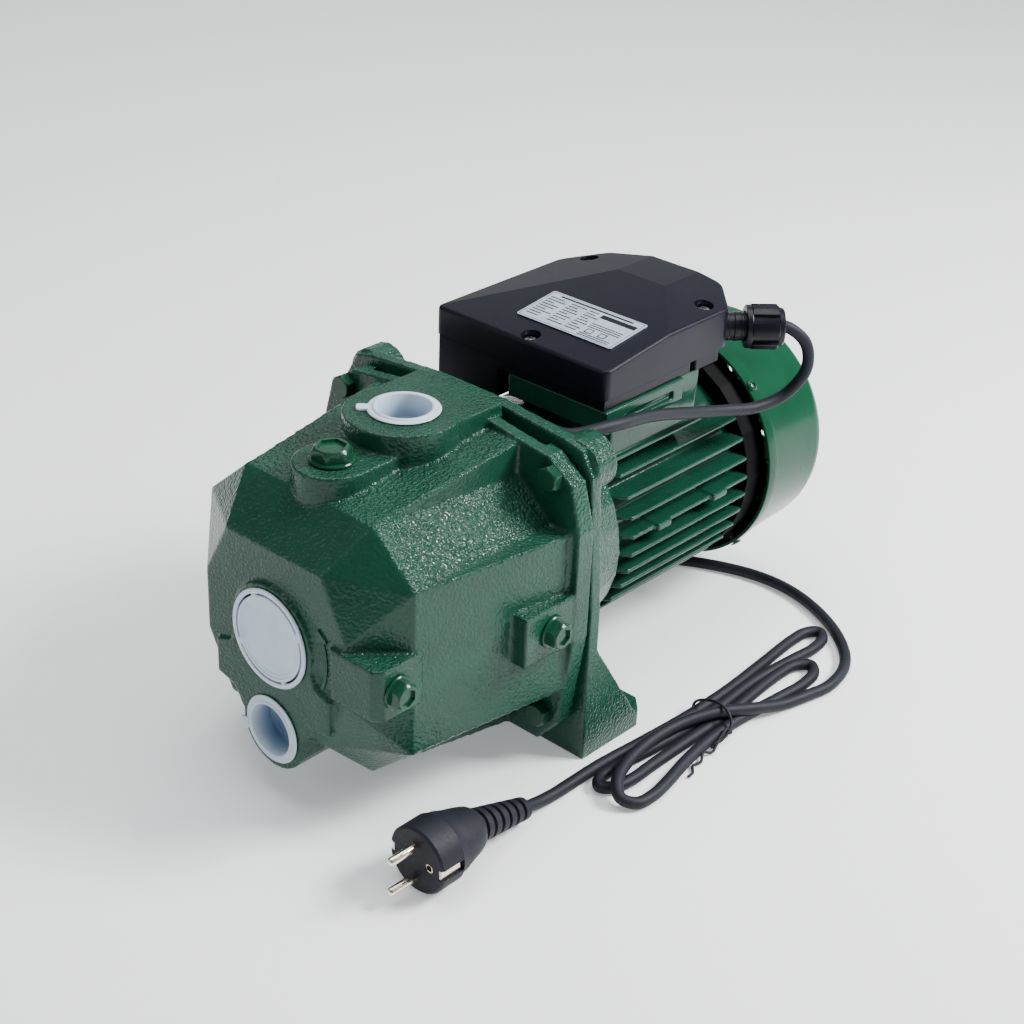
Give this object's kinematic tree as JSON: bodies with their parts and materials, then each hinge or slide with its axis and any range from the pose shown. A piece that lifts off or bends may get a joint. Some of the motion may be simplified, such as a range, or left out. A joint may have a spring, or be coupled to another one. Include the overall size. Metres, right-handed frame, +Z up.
{
  "type": "jet water pump",
  "caption": "Cast-iron self-priming jet pump with twin front ports, close-coupled finned motor, terminal box, supply lead and earthed plug.",
  "frame": {"origin": "on the ground under the middle of the pump and motor, between the two rows of hexagon plugs", "axes": "+Z up, +Y along the shaft from the suction port to the fan, +X to the side with the drain plug"},
  "size_m": [0.2648, 0.4245, 0.226],
  "materials": {
    "cast_green": "glossy bottle-green enamel over an orange-peel cast surface",
    "cover_green": "smooth semi-gloss green enamel on pressed steel",
    "bare_iron": "machined and dull grey",
    "steel": "turned, bright",
    "black_paint": "satin black paint over the cast end shield",
    "zinc": "screw heads painted over with the casting",
    "brass": "as cast and turned",
    "copper": "varnished enamelled wire",
    "black_rubber": "matt black",
    "clear_cap": "translucent bluish-white polyethylene",
    "box_plastic": "fine-textured blue-black",
    "white_plastic": "off-white, satin",
    "black_plastic": "satin black",
    "nickel": "nickel-plated brass",
    "label_foil": "satin silver foil"
  },
  "bodies": {
    "root": {"pump_casing": "cast_green", "casing_gasket": "black_rubber", "motor_bracket": "cast_green", "flange_bolt_1": "zinc", "flange_bolt_2": "zinc", "flange_bolt_3": "zinc", "flange_bolt_4": "zinc", "diffuser": "black_plastic", "seal_fixed_seat": "white_plastic", "front_bearing_outer_race": "steel", "rear_bearing_outer_race": "steel", "stator_core": "bare_iron", "front_winding": "copper", "rear_winding": "copper", "stator_housing": "cast_green", "rear_end_shield": "black_paint", "shield_screw_1": "steel", "shield_screw_2": "steel", "shield_screw_3": "steel", "shield_screw_4": "steel", "fan_cover": "cover_green", "fan_cover_screw_1": "zinc", "fan_cover_screw_2": "zinc", "fan_cover_screw_3": "zinc", "fan_cover_screw_4": "zinc", "terminal_box_base": "box_plastic", "terminal_block": "white_plastic", "capacitor": "white_plastic", "gland_body": "black_plastic", "gland_seal": "black_rubber", "power_cord": "black_rubber", "cord_hank": "black_rubber", "hank_tie": "black_rubber", "cord_tail": "black_rubber", "plug_strain_relief": "black_rubber", "plug_body": "black_rubber", "plug_pin_upper": "nickel", "plug_pin_lower": "nickel"},
    "rotor": {"shaft": "steel", "impeller": "brass", "impeller_nut": "brass", "seal_rotating_ring": "steel", "shaft_slinger": "black_rubber", "front_bearing_inner_race": "steel", "rear_bearing_inner_race": "steel", "rotor_core": "bare_iron", "cooling_fan": "black_plastic"},
    "lid": {"terminal_box_lid": "box_plastic", "lid_screw_1": "steel", "lid_screw_2": "steel", "lid_screw_3": "steel", "rating_label": "label_foil"},
    "suction_cap": {"suction_port_cap": "clear_cap"},
    "drive_cap": {"drive_port_cap": "clear_cap"},
    "discharge_cap": {"discharge_port_cap": "clear_cap"},
    "priming_plug_body": {"priming_plug": "cast_green"},
    "front_drain_plug_body": {"front_drain_plug": "cast_green"},
    "right_gauge_plug_body": {"right_gauge_plug": "cast_green"},
    "left_gauge_plug_body": {"left_gauge_plug": "cast_green"},
    "gland_nut_body": {"gland_nut": "black_plastic"}
  },
  "joints": [
    {"name": "shaft_spin", "type": "hinge", "parent": "root", "child": "rotor", "pos_m": [0, 0, 0.1], "axis": [0, 1, 0], "continuous": true},
    {"name": "lid_lift", "type": "slide", "parent": "root", "child": "lid", "axis": [0, 0, 1], "range_m": [0, 0.06]},
    {"name": "suction_cap_pull", "type": "slide", "parent": "root", "child": "suction_cap", "axis": [0, -1, 0], "range_m": [0, 0.03]},
    {"name": "drive_cap_pull", "type": "slide", "parent": "root", "child": "drive_cap", "axis": [0, -1, 0], "range_m": [0, 0.03]},
    {"name": "discharge_cap_pull", "type": "slide", "parent": "root", "child": "discharge_cap", "axis": [0, 0, 1], "range_m": [0, 0.03]},
    {"name": "priming_plug_unscrew", "type": "slide", "parent": "root", "child": "priming_plug_body", "axis": [0, 0, 1], "range_m": [0, 0.03]},
    {"name": "front_drain_plug_unscrew", "type": "slide", "parent": "root", "child": "front_drain_plug_body", "axis": [1, 0, 0], "range_m": [0, 0.025]},
    {"name": "right_gauge_plug_unscrew", "type": "slide", "parent": "root", "child": "right_gauge_plug_body", "axis": [1, 0, 0], "range_m": [0, 0.025]},
    {"name": "left_gauge_plug_unscrew", "type": "slide", "parent": "root", "child": "left_gauge_plug_body", "axis": [-1, 0, 0], "range_m": [0, 0.025]},
    {"name": "gland_nut_turn", "type": "hinge", "parent": "root", "child": "gland_nut_body", "pos_m": [0.0674, 0.1189, 0.203], "axis": [0.7071, 0.7071, 0], "range_deg": [0, 360]}
  ]
}
